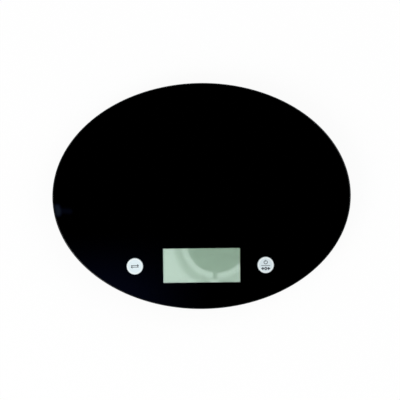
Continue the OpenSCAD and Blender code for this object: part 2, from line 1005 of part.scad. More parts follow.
// Screws that hold the bottom cover, driven from below
module housing_screws() {
  color([0.6, 0.6, 0.62])
    for (spot = screw_spots)
      translate(spot)
        union() {
          bore(screw_head_r, head_seat - screw_head_t, head_seat);
          bore(screw_r, head_seat - over, screw_depth - 0.4);
        }
}

// Screws that hold the circuit board to the posts of the top plate
module board_screws() {
  color([0.7, 0.7, 0.72])
    for (spot = board_posts)
      translate(spot)
        union() {
          bore(board_screw_head_r, board_low - board_screw_head_t, board_low);
          bore(board_screw_r, board_low - board_screw_head_t / 2, board_screw_depth - head_gap);
        }
}

glass_platform();
back_print();
mounting_tape();
upper_housing();
bottom_cover();
lcd_panel();
display_frame();
contact_strip();
circuit_board();
main_chip();
board_parts();
button(-unit_button_reach);  // unit_button
button(tare_button_reach);  // tare_button
switch_body(-unit_button_reach);  // unit_switch
switch_body(tare_button_reach);  // tare_switch
switch_stem(-unit_button_reach);  // unit_switch_stem
switch_stem(tare_button_reach);  // tare_switch_stem
load_cell(0);  // load_cell_front_left
load_cell(1);  // load_cell_front_right
load_cell(2);  // load_cell_back_left
load_cell(3);  // load_cell_back_right
foot_cup(0);  // foot_cup_front_left
foot_cup(1);  // foot_cup_front_right
foot_cup(2);  // foot_cup_back_left
foot_cup(3);  // foot_cup_back_right
foot_pad(0);  // foot_pad_front_left
foot_pad(1);  // foot_pad_front_right
foot_pad(2);  // foot_pad_back_left
foot_pad(3);  // foot_pad_back_right
gauge_seals();
sensor_leads();
battery_leads();
battery_cell();
positive_contact();
negative_contact();
battery_cap();
housing_screws();
board_screws();
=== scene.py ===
import json
import math

import bmesh
import bpy
from mathutils import Matrix, Vector


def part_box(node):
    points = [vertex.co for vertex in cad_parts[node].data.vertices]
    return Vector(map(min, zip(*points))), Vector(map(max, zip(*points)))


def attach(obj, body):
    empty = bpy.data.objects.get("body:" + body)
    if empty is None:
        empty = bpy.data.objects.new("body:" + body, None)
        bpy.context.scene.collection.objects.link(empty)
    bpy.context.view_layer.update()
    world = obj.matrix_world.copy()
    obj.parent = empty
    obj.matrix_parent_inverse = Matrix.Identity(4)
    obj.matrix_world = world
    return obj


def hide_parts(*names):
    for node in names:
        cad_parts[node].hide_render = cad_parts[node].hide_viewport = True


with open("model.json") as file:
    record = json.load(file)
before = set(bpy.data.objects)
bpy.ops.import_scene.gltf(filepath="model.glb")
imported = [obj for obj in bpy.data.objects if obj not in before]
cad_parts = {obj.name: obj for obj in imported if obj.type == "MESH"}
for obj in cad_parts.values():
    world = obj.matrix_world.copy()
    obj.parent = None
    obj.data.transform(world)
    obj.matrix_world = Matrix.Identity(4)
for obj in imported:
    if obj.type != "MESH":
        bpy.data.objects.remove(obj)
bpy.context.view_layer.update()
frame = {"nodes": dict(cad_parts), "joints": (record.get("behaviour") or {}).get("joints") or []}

# The CAD model's box, its nodes, and the glass and panel that most other sizes come from
nodes = frame["nodes"]
mm = 0.001
glass_low, glass_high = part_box("glass_platform")
panel_low, panel_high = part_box("lcd_panel")
half_width = (glass_high.x - glass_low.x) / 2
half_depth = (glass_high.y - glass_low.y) / 2
glass_bottom = glass_low.z
glass_top = glass_high.z
corners = ("front_left", "front_right", "back_left", "back_right")

# A point this near to a face, in millimetres, counts as on it
on_face = 0.05

# The window in the black print, from the display panel behind it
panel_side = 2.3 * mm
panel_front = 1.5 * mm
panel_back = 3.1 * mm
window_low = Vector((panel_low.x + panel_side, panel_low.y + panel_front))
window_high = Vector((panel_high.x - panel_side, panel_high.y - panel_back))

# Where the photo shows the middle of the glass, in its own pixels, and how far the glass is turned
photo_px = 400
glass_middle_px = Vector((201.57, 195.98))
glass_half_px = 149.26
glass_turn = math.radians(0.6)
metres_per_px = half_width / glass_half_px
camera_lens_mm = 140

# Cards that only mirrors show hang this far above the camera
lens_card_lift = 80 * mm
glow_card_lift = 90 * mm

# The round lens that the display mirrors. Its middle and its rings are in pixels of the photo:
# each ring starts and ends at a distance from the middle and adds to the brightness.
mirrored_middle_px = Vector((217.0, 243.0))
lens_steps = [(28.5, 31.5, 1.2), (33.5, 37.5, -0.62), (38.5, 40, 0.1), (40.5, 47, 0.68)]

# Short strokes from the same middle: a dark notch in the rings and a light spot below them
lens_notch_px = ((-2.4, -29.5), (-2.2, -34.5))
lens_notch_width = 5
lens_spot_px = ((-6.5, -38.4), (0.5, -38))
lens_spot_width = 2

# The faint light that the left rim mirrors, and its tail, from the middle of the glass
rim_light_px = ((-144.5, -10), (-143.5, -16))
rim_light_tail_px = ((-142, -13), (-132, -14))

# The wide glow starts this far below the middle, grows over a height and fades out to the right
glow_top_px = -31
glow_tall_px = 90
glow_fades_px = (-110, 15)


class Value:
    """One output of a node, with arithmetic that adds Math nodes."""

    def __init__(self, finish, socket):
        self.finish = finish
        self.socket = socket

    def _math(self, operation, *others):
        inputs = dict(enumerate((self,) + others))
        return self.finish.node("ShaderNodeMath", {"operation": operation}, inputs)

    def __add__(self, other):
        return self._math("ADD", other)

    def __radd__(self, other):
        return self._math("ADD", other)

    def __sub__(self, other):
        return self._math("SUBTRACT", other)

    def __rsub__(self, other):
        return self.finish.node("ShaderNodeMath", {"operation": "SUBTRACT"}, {0: other, 1: self})

    def __mul__(self, other):
        return self._math("MULTIPLY", other)

    def __truediv__(self, other):
        return self._math("DIVIDE", other)

    def __pow__(self, other):
        return self._math("POWER", other)

    def __abs__(self):
        return self._math("ABSOLUTE")

    def less(self, other):
        return self._math("MINIMUM", other)

    def more(self, other):
        return self._math("MAXIMUM", other)

    def below(self, limit):
        return self._math("LESS_THAN", limit)

    def above(self, limit):
        return self._math("GREATER_THAN", limit)

    def fade(self, low, high):
        """0 below low, 1 above high, smooth between."""
        return self.finish.node(
            "ShaderNodeMapRange",
            {"interpolation_type": "SMOOTHSTEP"},
            {"Value": self, "From Min": low, "From Max": high},
        )


class Finish:
    """A material that is built from nodes."""

    def __init__(self, name, tree=None):
        if tree is None:
            self.material = bpy.data.materials.new(name)
            self.material.use_nodes = True
            tree = self.material.node_tree
        self.tree = tree
        self.tree.nodes.clear()

    def node(self, kind, settings=None, inputs=None, output=0):
        """Adds a node, sets its settings, then its sockets' values or links. Gives one output."""
        made = self.tree.nodes.new(kind)
        for name, setting in (settings or {}).items():
            setattr(made, name, setting)
        for name, value in (inputs or {}).items():
            self._feed(made.inputs[name], value)
        return Value(self, made.outputs[output]) if made.outputs else None

    def _feed(self, socket, value):
        if isinstance(value, Value):
            self.tree.links.new(value.socket, socket)
        elif socket.type == "RGBA":
            socket.default_value = (*value, 1.0)
        else:
            socket.default_value = value

    def place(self):
        """The point on the piece, in millimetres of the shared frame."""
        point = self.node("ShaderNodeTexCoord", output="Object")
        return self.node(
            "ShaderNodeVectorMath", {"operation": "SCALE"}, {0: point, "Scale": 1 / mm}
        )

    def along(self, point):
        """The three parts of a point."""
        split = self.node("ShaderNodeSeparateXYZ", inputs={0: point})
        outputs = split.socket.node.outputs
        return [Value(self, outputs[i]) for i in range(3)]

    def moved(self, point, offset=(0, 0, 0), stretch=(1, 1, 1)):
        """The point, stretched and then moved."""
        return self.node(
            "ShaderNodeMapping",
            {"vector_type": "POINT"},
            {"Vector": point, "Location": offset, "Scale": stretch},
        )

    def noise(self, point, size, detail=2.0, roughness=0.5):
        """Soft noise with features of about that size in millimetres."""
        return self.node(
            "ShaderNodeTexNoise",
            {},
            {"Vector": point, "Scale": 1 / size, "Detail": detail, "Roughness": roughness},
        )

    def cells(self, point, size, feature="F1", distance="EUCLIDEAN"):
        """How far a point is from the middle of its cell, where cells are about that size."""
        return self.node(
            "ShaderNodeTexVoronoi",
            {"feature": feature, "distance": distance},
            {"Vector": point, "Scale": 1 / size},
        )

    def mix(self, share, first, second):
        """Colours from first to second."""
        return self.node(
            "ShaderNodeMix", {"data_type": "RGBA"}, {0: share, 6: first, 7: second}, output=2
        )

    def bump(self, height, depth):
        """A normal from a height from 0 to 1, where 1 stands depth millimetres high."""
        return self.node("ShaderNodeBump", {}, {"Height": height, "Distance": depth * mm})

    def plastic(self, **sockets):
        """A Principled shader. Its sockets are named with _ for each space."""
        inputs = {name.replace("_", " "): value for name, value in sockets.items()}
        return self.node("ShaderNodeBsdfPrincipled", {}, inputs)

    def either(self, share, first, second):
        """Shaders from first to second."""
        return self.node("ShaderNodeMixShader", {}, {0: share, 1: first, 2: second})

    def shown(self, shader):
        """Links the shader to the output and gives the material."""
        self.node("ShaderNodeOutputMaterial", {}, {"Surface": shader})
        return self.material


def length(x, y):
    """The length of a flat vector."""
    return (x * x + y * y) ** 0.5


# Marks are drawn as distances, in millimetres, from the middle of their face

def bar(x, y, start, end, width):
    """How far a point lies outside a straight stroke."""
    run = Vector(end) - Vector(start)
    share = ((x - start[0]) * run.x + (y - start[1]) * run.y) / run.length_squared
    share = share.more(0).less(1)
    return length(x - start[0] - share * run.x, y - start[1] - share * run.y) - width / 2


def ring(x, y, middle, radius, width, tall=1.0):
    """How far a point lies outside a round or tall stroke."""
    return abs(length(x - middle[0], (y - middle[1]) / tall) - radius) - width / 2


def arrow(x, y, tail, tip, barb, width):
    """A straight arrow along x. Its barbs reach back from the tip."""
    back = tip[0] - math.copysign(barb, tip[0] - tail[0])
    shape = bar(x, y, tail, tip, width)
    shape = shape.less(bar(x, y, (back, tip[1] + barb), tip, width))
    return shape.less(bar(x, y, (back, tip[1] - barb), tip, width))


def unit_mark(x, y):
    """Two opposed arrows: change over from one unit to the next."""
    stroke = 0.5
    row = 0.62
    reach = 2.8
    barb = 0.72
    right = arrow(x, y, (-reach, row), (reach, row), barb, stroke)
    left = arrow(x, y, (reach, -row), (-reach, -row), barb, stroke)
    return right.less(left)


def tare_mark(x, y):
    """A standby ring, a thin rule, and a nought between two arrows."""
    stroke = 0.5
    bold = 0.85
    standby_y = 2.1
    standby_top = standby_y + 1.6
    rule_y = -0.4
    rule_half = 3.3
    row = -2.7
    arrow_tail = 3.1
    arrow_tip = 1.6
    standby = ring(x, y, (0, standby_y), 1.3, stroke)
    gap = bar(x, y, (0, standby_y + 0.9), (0, standby_top + 0.7), 1.2)
    standby = standby.more(0 - gap)
    standby = standby.less(bar(x, y, (0, standby_top - 1), (0, standby_top), stroke))
    rule = bar(x, y, (-rule_half, rule_y), (rule_half, rule_y), 0.4)
    nought = ring(x, y, (0, row), 0.7, bold * 0.8, 1.2)
    right = arrow(x, y, (-arrow_tail, row), (-arrow_tip, row), 0.7, bold)
    left = arrow(x, y, (arrow_tail, row), (arrow_tip, row), 0.7, bold)
    return standby.less(rule).less(nought).less(right).less(left)


# Materials

def button_plastic(node, mark, painted_shade):
    """Pale satin plastic with a printed mark on its face, a painted highlight on a ring near the rim of
    its face and painted shade on its rounded edge.
    """
    # Radii in millimetres: the painted highlight starts at the first pair, the painted shade of the
    # rounded edge at the second
    painted_highlight_starts = (4.9, 5.3)
    painted_edge_shade_starts = (5.75, 6.25)
    finish = Finish(node + "_plastic")
    point = finish.place()
    low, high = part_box(node)
    flange_r = (high.y - low.y) / 2
    middle = Vector((low.x + flange_r, low.y + flange_r)) / mm
    x, y, z = finish.along(finish.moved(point, (-middle.x, -middle.y, 0)))
    printed = (1 - mark(x, y).fade(-0.05, 0.05)) * z.above(high.z / mm - on_face)
    cloud = finish.noise(point, 2.5, 3)
    # The factor given for each button scales its whole colour down as painted shade
    pale = Vector((0.80, 0.925, 0.975)) * painted_shade
    painted_rim_highlight = Vector((0.91, 0.985, 0.995)) * painted_shade ** 0.5
    from_middle = length(x, y)
    face = finish.mix(cloud, pale * 0.97, pale)
    # Painted highlight: a ring near the rim is lighter. Painted shade: the rounded edge beyond it is
    # darker.
    face = finish.mix(from_middle.fade(*painted_highlight_starts), face, painted_rim_highlight)
    face = finish.mix(from_middle.fade(*painted_edge_shade_starts), face, pale * 0.55)
    colour = finish.mix(printed, face, (0.05, 0.06, 0.07))
    grain = finish.noise(point, 0.12, 2)
    return finish.shown(finish.plastic(
        Base_Color=colour,
        Roughness=0.34 + grain * 0.08 + printed * 0.1,
        Normal=finish.bump(grain - printed * 0.5, 0.004),
    ))


def glass():
    """Clear tempered glass. Its underside is black where the print is fired on it, and so is its edge.

    Away from the window nothing but the print can be seen through it, so its top is plain black there.
    """
    ground_starts = 1.25 * mm
    ground_ends = 0.95 * mm
    finish = Finish("clear_glass")
    point = finish.place()
    x, y, z = finish.along(point)
    middle = (window_low + window_high) / 2 / mm
    half = (window_high - window_low) / 2 / mm
    from_window = (abs(x - middle.x) - half.x).more(abs(y - middle.y) - half.y)
    printed = from_window.above(0) * z.below(glass_bottom / mm + on_face)
    thick = (glass_top - glass_bottom) / mm
    covered = from_window.fade(thick, 5 * thick) * z.above(glass_top / mm - on_face)
    ripple = finish.bump(finish.noise(point, 30, 2), 0.0015)
    clear = finish.plastic(
        Base_Color=(0.90, 0.955, 0.935),
        Roughness=0.0,
        IOR=1.5,
        Transmission_Weight=1.0,
        Normal=ripple,
    )
    sheen = finish.noise(point, 6, 3)
    ink = finish.plastic(Base_Color=(0.0008, 0.0008, 0.001), Roughness=0.35 + sheen * 0.1)
    mirror = finish.plastic(Base_Color=(0, 0, 0), Roughness=0.0, IOR=1.5, Normal=ripple)
    see_through = finish.node("ShaderNodeBsdfTransparent", {}, {"Color": (0.95, 0.98, 0.97)})
    shadow = finish.node("ShaderNodeLightPath", output="Is Shadow Ray")
    ground = finish.noise(point, 0.4, 3)
    edge = finish.plastic(
        Base_Color=finish.mix(ground, (0.0015, 0.003, 0.003), (0.003, 0.006, 0.0055)),
        Roughness=0.22 + ground * 0.1,
        Specular_IOR_Level=0.25,
    )
    from_middle = length(x / (half_width / mm), y / (half_depth / mm))
    rounding = from_middle.fade(1 - ground_starts / half_width, 1 - ground_ends / half_width)
    shader = finish.either(shadow, clear, see_through)
    shader = finish.either(printed, shader, ink)
    shader = finish.either(covered, shader, mirror)
    return finish.shown(finish.either(rounding, shader, edge))


def black_print():
    """Black enamel, a little uneven where it is seen from below."""
    finish = Finish("black_print")
    point = finish.place()
    cloud = finish.noise(point, 4, 3)
    return finish.shown(finish.plastic(
        Base_Color=finish.mix(cloud, (0.0008, 0.0008, 0.001), (0.0016, 0.0016, 0.002)),
        Roughness=0.38 + cloud * 0.15,
        Normal=finish.bump(finish.noise(point, 0.6, 2), 0.01),
    ))


def display_panel():
    """Liquid crystal panel, off: grey-green, under a glossy front."""
    finish = Finish("display_panel")
    point = finish.place()
    cloud = finish.noise(point, 9, 2)
    x, y, z = finish.along(point)
    pixel = finish.noise(finish.moved(point, stretch=(1, 0.02, 1)), 0.35, 1)
    colour = finish.mix(cloud * 0.6 + pixel * 0.4, (0.45, 0.585, 0.46), (0.475, 0.615, 0.485))
    edge = z.below(panel_high.z / mm - on_face)
    return finish.shown(finish.plastic(
        Base_Color=finish.mix(edge, colour, (0.36, 0.46, 0.41)),
        Roughness=0.4 + cloud * 0.05,
        Coat_Weight=1.0,
        Coat_Roughness=0.02,
        Coat_IOR=2.3,
    ))


def moulded(name, dark, light, grain_size, grain_depth, roughness):
    """Moulded plastic with a fine texture from its mould and a faint flow of the melt."""
    finish = Finish(name)
    point = finish.place()
    flow = finish.noise(finish.moved(point, stretch=(1, 0.3, 1)), 22, 3)
    grain = finish.noise(point, grain_size, 3, 0.6)
    dust = finish.noise(point, 1.4, 4, 0.7).fade(0.62, 0.72) * 0.1
    return finish.shown(finish.plastic(
        Base_Color=finish.mix((flow * 0.7 + grain * 0.3 + dust).less(1), dark, light),
        Roughness=roughness + grain * 0.12 + flow * 0.06,
        Normal=finish.bump(grain, grain_depth),
    ))


def rubber(name, dark, light):
    """Soft rubber with a dull, finely pitted skin."""
    finish = Finish(name)
    point = finish.place()
    pits = finish.cells(point, 0.35)
    cloud = finish.noise(point, 3, 4)
    return finish.shown(finish.plastic(
        Base_Color=finish.mix(cloud * 0.7 + pits * 0.3, dark, light),
        Roughness=0.7 + cloud * 0.15,
        Normal=finish.bump(pits + cloud, 0.02),
    ))


def foam_tape():
    """Closed-cell foam: round cells, cut open at the edges."""
    finish = Finish("foam_tape")
    point = finish.place()
    cells = finish.cells(point, 0.25, "SMOOTH_F1")
    return finish.shown(finish.plastic(
        Base_Color=finish.mix(cells, (0.72, 0.72, 0.68), (0.5, 0.5, 0.47)),
        Roughness=0.85,
        Normal=finish.bump(1 - cells, 0.05),
    ))


def zebra_rubber():
    """Thin conducting and insulating layers, side by side along the strip."""
    finish = Finish("zebra_rubber")
    point = finish.place()
    layers = finish.node(
        "ShaderNodeTexWave",
        {"wave_type": "BANDS", "bands_direction": "X", "wave_profile": "SIN"},
        {"Vector": point, "Scale": 1.0, "Distortion": 0.0},
        output="Fac",
    )
    return finish.shown(finish.plastic(
        Base_Color=finish.mix(layers.fade(0.35, 0.65), (0.03, 0.03, 0.03), (0.35, 0.12, 0.2)),
        Roughness=0.6 + finish.noise(point, 0.5, 2) * 0.1,
    ))


def circuit_board_green():
    """Green solder mask over copper tracks that run round bare tinned pads."""
    finish = Finish("circuit_board_green")
    point = finish.place()
    tracks_to_a_cell = 11
    from_pad = finish.cells(point, 7, "F1", "CHEBYCHEV")
    row = finish.node(
        "ShaderNodeMath", {"operation": "PINGPONG"}, {0: from_pad * tracks_to_a_cell, 1: 1.0}
    )
    tracks = row.fade(0.42, 0.52) * finish.noise(point, 5, 1).fade(0.37, 0.39)
    pads = 1 - from_pad.fade(0.07, 0.085)
    holes = 1 - finish.cells(point, 4).fade(0.075, 0.09)
    mask = finish.mix(tracks, (0.011, 0.105, 0.033), (0.02, 0.165, 0.053))
    bare = pads.more(holes)
    return finish.shown(finish.plastic(
        Base_Color=finish.mix(bare, mask, (0.62, 0.6, 0.52)),
        Metallic=bare * 0.9,
        Roughness=0.3 + finish.noise(point, 1.5, 3) * 0.12,
        Normal=finish.bump(tracks + bare * 0.5, 0.035),
    ))


def metal(name, dark, light, roughness, stretch=(1, 1, 1), line_width=0.3):
    """Plated or bare metal with fine drawn lines and a little tarnish."""
    finish = Finish(name)
    point = finish.place()
    lines = finish.noise(finish.moved(point, stretch=stretch), line_width, 3)
    tarnish = finish.noise(point, 5, 4, 0.6)
    return finish.shown(finish.plastic(
        Base_Color=finish.mix(tarnish, dark, light),
        Metallic=1.0,
        Roughness=roughness + lines * 0.14 + tarnish * 0.08,
        Normal=finish.bump(lines, 0.004),
    ))


def battery_can():
    """Nickel-plated steel can, spun to a satin finish."""
    finish = Finish("battery_can")
    point = finish.place()
    low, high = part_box("battery_cell")
    middle = (low + high) / 2 / mm
    x, y, z = finish.along(finish.moved(point, (-middle.x, -middle.y, 0)))
    turned = finish.noise(
        finish.node("ShaderNodeCombineXYZ", {}, {"X": length(x, y), "Z": z}), 0.12, 2
    )
    tarnish = finish.noise(point, 4, 3)
    reach = 2.5
    stroke = 0.7
    cross = bar(x, y, (-reach, 0), (reach, 0), stroke).less(bar(x, y, (0, -reach), (0, reach), stroke))
    stamped = (1 - cross.fade(-0.1, 0.1)) * z.below(low.z / mm + 0.1)
    return finish.shown(finish.plastic(
        Base_Color=finish.mix(tarnish, (0.66, 0.65, 0.62), (0.74, 0.73, 0.71)),
        Metallic=1.0,
        Roughness=0.24 + turned * 0.16,
        Normal=finish.bump(turned * 0.08 - stamped, 0.05),
    ))


def wire_cover(name, dark, light):
    """Soft glossy insulation, with faint marks from its drawing die."""
    finish = Finish(name)
    point = finish.place()
    cloud = finish.noise(point, 3, 3)
    drawn = finish.noise(point, 0.2, 2)
    return finish.shown(finish.plastic(
        Base_Color=finish.mix(cloud, dark, light),
        Roughness=0.3 + drawn * 0.12,
        Normal=finish.bump(drawn, 0.006),
    ))


def chip_ceramic():
    """Fired ceramic of the small chips, brown or black."""
    finish = Finish("chip_ceramic")
    point = finish.place()
    kind = finish.cells(point, 6)
    grain = finish.noise(point, 0.15, 3)
    return finish.shown(finish.plastic(
        Base_Color=finish.mix(kind.fade(0.3, 0.6), (0.42, 0.3, 0.17), (0.09, 0.09, 0.1)),
        Roughness=0.4 + grain * 0.15,
        Normal=finish.bump(grain, 0.008),
    ))


def chip_resin():
    """Black moulded resin with a dot beside its first leg."""
    finish = Finish("chip_resin")
    point = finish.place()
    low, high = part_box("main_chip")
    low, high = low / mm, high / mm
    dot_inset = 1.5
    x, y, z = finish.along(finish.moved(point, (-low.x - dot_inset, -high.y + dot_inset, 0)))
    dot = 1 - length(x, y).fade(0.4, 0.5)
    grain = finish.noise(point, 0.15, 3)
    return finish.shown(finish.plastic(
        Base_Color=finish.mix(dot, (0.012, 0.012, 0.013), (0.25, 0.25, 0.25)),
        Roughness=0.42 + grain * 0.15,
        Normal=finish.bump(grain, 0.01),
    ))


def switch_body():
    """Black moulding under a plated cover with plated legs."""
    finish = Finish("switch_body")
    point = finish.place()
    low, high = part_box("unit_switch")
    leg_tall = 0.25
    cover_tall = 0.3
    x, y, z = finish.along(point)
    plated = z.below(low.z / mm + leg_tall).more(z.above(high.z / mm - cover_tall))
    grain = finish.noise(point, 0.2, 3)
    return finish.shown(finish.plastic(
        Base_Color=finish.mix(plated, (0.015, 0.015, 0.016), (0.66, 0.65, 0.62)),
        Metallic=plated,
        Roughness=0.35 + grain * 0.15,
        Normal=finish.bump(grain, 0.006),
    ))


def silicone():
    """White silicone, blobbed on and cured: soft and slightly uneven."""
    finish = Finish("white_silicone")
    point = finish.place()
    lump = finish.noise(point, 0.9, 3)
    return finish.shown(finish.plastic(
        Base_Color=finish.mix(lump, (0.78, 0.78, 0.74), (0.86, 0.86, 0.84)),
        Roughness=0.3 + lump * 0.15,
        Subsurface_Weight=0.2,
        Subsurface_Scale=0.001,
        Normal=finish.bump(lump, 0.08),
    ))


def dress(node, finish):
    """Gives a CAD node its material."""
    mesh = nodes[node].data
    mesh.materials.clear()
    mesh.materials.append(finish)


# Pieces

def finished(name, shape, finish, body):
    """Makes an object of a bmesh that is already in place, and lets it ride on a body."""
    bmesh.ops.recalc_face_normals(shape, faces=shape.faces[:])
    mesh = bpy.data.meshes.new(name)
    shape.to_mesh(mesh)
    shape.free()
    mesh.materials.append(finish)
    piece = bpy.data.objects.new(name, mesh)
    bpy.context.scene.collection.objects.link(piece)
    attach(piece, body)
    return piece


def smooth(piece, degrees=35):
    """Shades a piece smoothly, except across sharp edges."""
    piece.data.shade_smooth()
    piece.data.set_sharp_from_angle(angle=math.radians(degrees))
    return piece


def lathe(profile, steps=64):
    """A closed solid, turned round the z axis from points (radius, height)."""
    shape = bmesh.new()
    points = [shape.verts.new((r, 0, z)) for r, z in profile]
    for first, second in zip(points, points[1:]):
        shape.edges.new((first, second))
    bmesh.ops.spin(
        shape,
        geom=shape.verts[:] + shape.edges[:],
        cent=(0, 0, 0),
        axis=(0, 0, 1),
        angle=2 * math.pi,
        steps=steps,
        use_merge=True,
        use_duplicate=False,
    )
    bmesh.ops.remove_doubles(shape, verts=shape.verts[:], dist=1e-6)
    return shape


def foot_pads(finish):
    """Rubber pads with two grooves in the face that meets the table."""
    edge_r = 0.5 * mm
    edge_steps = 5
    groove_radii = (5.6 * mm, 3.0 * mm)
    groove_depth = 0.35 * mm
    half_groove = 0.45 * mm
    soft = 0.12 * mm
    for corner in corners:
        low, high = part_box("foot_pad_" + corner)
        middle = (low + high) / 2
        radius = (high.x - low.x) / 2
        profile = [(0, high.z), (radius, high.z), (radius, edge_r)]
        for i in range(1, edge_steps + 1):
            turn = math.pi / 2 * i / edge_steps
            profile.append((radius - edge_r * (1 - math.cos(turn)), edge_r * (1 - math.sin(turn))))
        for groove_r in groove_radii:
            outer = groove_r + half_groove
            inner = groove_r - half_groove
            profile += [(outer + soft, 0), (outer, soft), (outer - soft, groove_depth)]
            profile += [(inner + soft, groove_depth), (inner, soft), (inner - soft, 0)]
        profile.append((0, 0))
        shape = lathe(profile)
        bmesh.ops.translate(shape, vec=(middle.x, middle.y, 0), verts=shape.verts[:])
        pad = finished("grooved_pad_" + corner, shape, finish, "foot_" + corner)
        smooth(pad)
        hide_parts("foot_pad_" + corner)


def solid_boxes(node):
    """The boxes of the separate solids of a CAD node."""
    shape = bmesh.new()
    shape.from_mesh(nodes[node].data)
    bmesh.ops.remove_doubles(shape, verts=shape.verts[:], dist=1e-6)
    left = set(shape.verts)
    boxes = []
    for seed in shape.verts:
        if seed not in left:
            continue
        left.remove(seed)
        solid = [seed]
        for vert in solid:
            for other in (edge.other_vert(vert) for edge in vert.link_edges):
                if other in left:
                    left.remove(other)
                    solid.append(other)
        low = Vector([min(vert.co[i] for vert in solid) for i in range(3)])
        high = Vector([max(vert.co[i] for vert in solid) for i in range(3)])
        boxes.append((low, high))
    shape.free()
    return boxes


def new_verts(made):
    """The points among what an operator made."""
    return [part for part in made["geom"] if isinstance(part, bmesh.types.BMVert)]


def ring_out(shape, border, radius, height):
    """Draws the open border of a shape out to a circle, and gives the new border."""
    made = bmesh.ops.extrude_edge_only(shape, edges=border)
    for vert in new_verts(made):
        way = vert.co.to_2d().normalized() * radius
        vert.co = (way.x, way.y, height)
    edges = [part for part in made["geom"] if isinstance(part, bmesh.types.BMEdge)]
    return [edge for edge in edges if edge.is_boundary]


def cross_recess(shape, head_r, head_t):
    """The flat middle of a screw's head, with a cross sunk into it. Gives its open border."""
    arm = head_r * 0.5
    half_slot = head_r * 0.14
    bmesh.ops.create_grid(shape, x_segments=3, y_segments=3, size=arm)
    for vert in shape.verts:
        for i in range(2):
            if abs(vert.co[i]) < arm * 0.9:
                vert.co[i] = math.copysign(half_slot, vert.co[i])
    cross = [
        face for face in shape.faces
        if min(abs(face.calc_center_median().x), abs(face.calc_center_median().y)) < half_slot
    ]
    for thickness, depth in ((0.05 * head_r, 0.0), (0.03 * head_r, 0.6 * head_t)):
        bmesh.ops.inset_region(
            shape, faces=cross, thickness=thickness, depth=depth, use_even_offset=True
        )
    border = [edge for edge in shape.edges if edge.is_boundary]
    bmesh.ops.subdivide_edges(shape, edges=border, cuts=3)
    return [edge for edge in shape.edges if edge.is_boundary]


def thread(shape, core_r, thread_r, start, end):
    """A ridge that winds up a screw's shank."""
    pitch = 0.9
    half_ridge = 0.35
    root = core_r - 0.1
    steps = 20
    turns = int((end - start) / pitch) - 1
    first = start + pitch / 2
    outline = [(root, first - half_ridge), (thread_r, first), (root, first + half_ridge)]
    ridge = shape.faces.new([shape.verts.new((r, 0, z)) for r, z in outline])
    bmesh.ops.spin(
        shape,
        geom=ridge.verts[:] + ridge.edges[:] + [ridge],
        cent=(0, 0, 0),
        axis=(0, 0, 1),
        dvec=(0, 0, pitch / steps),
        angle=2 * math.pi * turns,
        steps=steps * turns,
    )


def screw(head_r, head_t, thread_r, tall):
    """A pan-head screw in millimetres. Its head is at the bottom and has a cross recess."""
    core_r = thread_r * 0.78
    tip = 1.2
    shape = bmesh.new()
    border = cross_recess(shape, head_r, head_t)
    rings = [
        (0.76 * head_r, 0),
        (0.88 * head_r, 0.07 * head_t),
        (0.97 * head_r, 0.25 * head_t),
        (head_r, 0.5 * head_t),
        (head_r, head_t),
        (core_r, head_t),
        (core_r, tall - tip),
        (0, tall),
    ]
    for radius, height in rings:
        border = ring_out(shape, border, radius, height)
    bmesh.ops.remove_doubles(shape, verts=shape.verts[:], dist=1e-5)
    thread(shape, core_r, thread_r, head_t, tall - tip)
    return shape


def repeated(shape, spots):
    """A shape in millimetres once more at each spot, in metres."""
    bmesh.ops.recalc_face_normals(shape, faces=shape.faces[:])
    pattern = bpy.data.meshes.new("pattern")
    shape.to_mesh(pattern)
    shape.free()
    several = bmesh.new()
    for spot in spots:
        done = len(several.verts)
        several.from_mesh(pattern)
        several.verts.ensure_lookup_table()
        fresh = several.verts[done:]
        bmesh.ops.scale(several, vec=(mm, mm, mm), verts=fresh)
        bmesh.ops.translate(several, vec=spot, verts=fresh)
    bpy.data.meshes.remove(pattern)
    return several


def screws(node, head_t, thread_r, finish):
    """Screws with a cross recess and a thread, at the places of the CAD's plain ones."""
    boxes = solid_boxes(node)
    low, high = boxes[0]
    shape = screw((high.x - low.x) / 2 / mm, head_t, thread_r, (high.z - low.z) / mm)
    spots = [((low.x + high.x) / 2, (low.y + high.y) / 2, low.z) for low, high in boxes]
    piece = finished("cross_" + node, repeated(shape, spots), finish, "housing")
    smooth(piece, 40)
    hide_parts(node)


def middle_of(low, high):
    """The middle of a box, at its lowest level."""
    return Vector(((low.x + high.x) / 2, (low.y + high.y) / 2, low.z))


def coin_battery(finish, seal_finish):
    """The battery's can with its crimped rim, the lid inside it and the seal between them."""
    low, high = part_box("battery_cell")
    radius = (high.x - low.x) / 2 / mm
    tall = (high.z - low.z) / mm
    crimp = 0.9
    seal_t = 0.4
    floor = tall - 0.7
    seal_r = radius - crimp
    lid_r = seal_r - seal_t
    can = [
        (0, 0), (radius - 0.9, 0), (radius - 0.4, 0.08), (radius - 0.1, 0.3), (radius, 0.65),
        (radius, tall - 0.75), (radius - 0.15, tall - 0.5), (radius - 0.5, tall - 0.4),
        (seal_r, tall - 0.45), (seal_r, floor), (0, floor),
    ]
    lid = [
        (0, floor - 0.05), (lid_r, floor - 0.05), (lid_r, tall - 0.3),
        (lid_r - 0.15, tall - 0.08), (lid_r - 0.4, tall), (0, tall),
    ]
    seal = [
        (lid_r, floor - 0.02), (seal_r, floor - 0.02), (seal_r, tall - 0.42),
        (lid_r + 0.1, tall - 0.38), (lid_r, tall - 0.45), (lid_r, floor - 0.02),
    ]
    spot = middle_of(low, high)
    for name, profile, paint in (
        ("battery_can", can, finish), ("battery_top", lid, finish), ("battery_seal", seal, seal_finish),
    ):
        piece = finished(name, repeated(lathe(profile), [spot]), paint, "housing")
        smooth(piece)
        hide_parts("battery_cell")


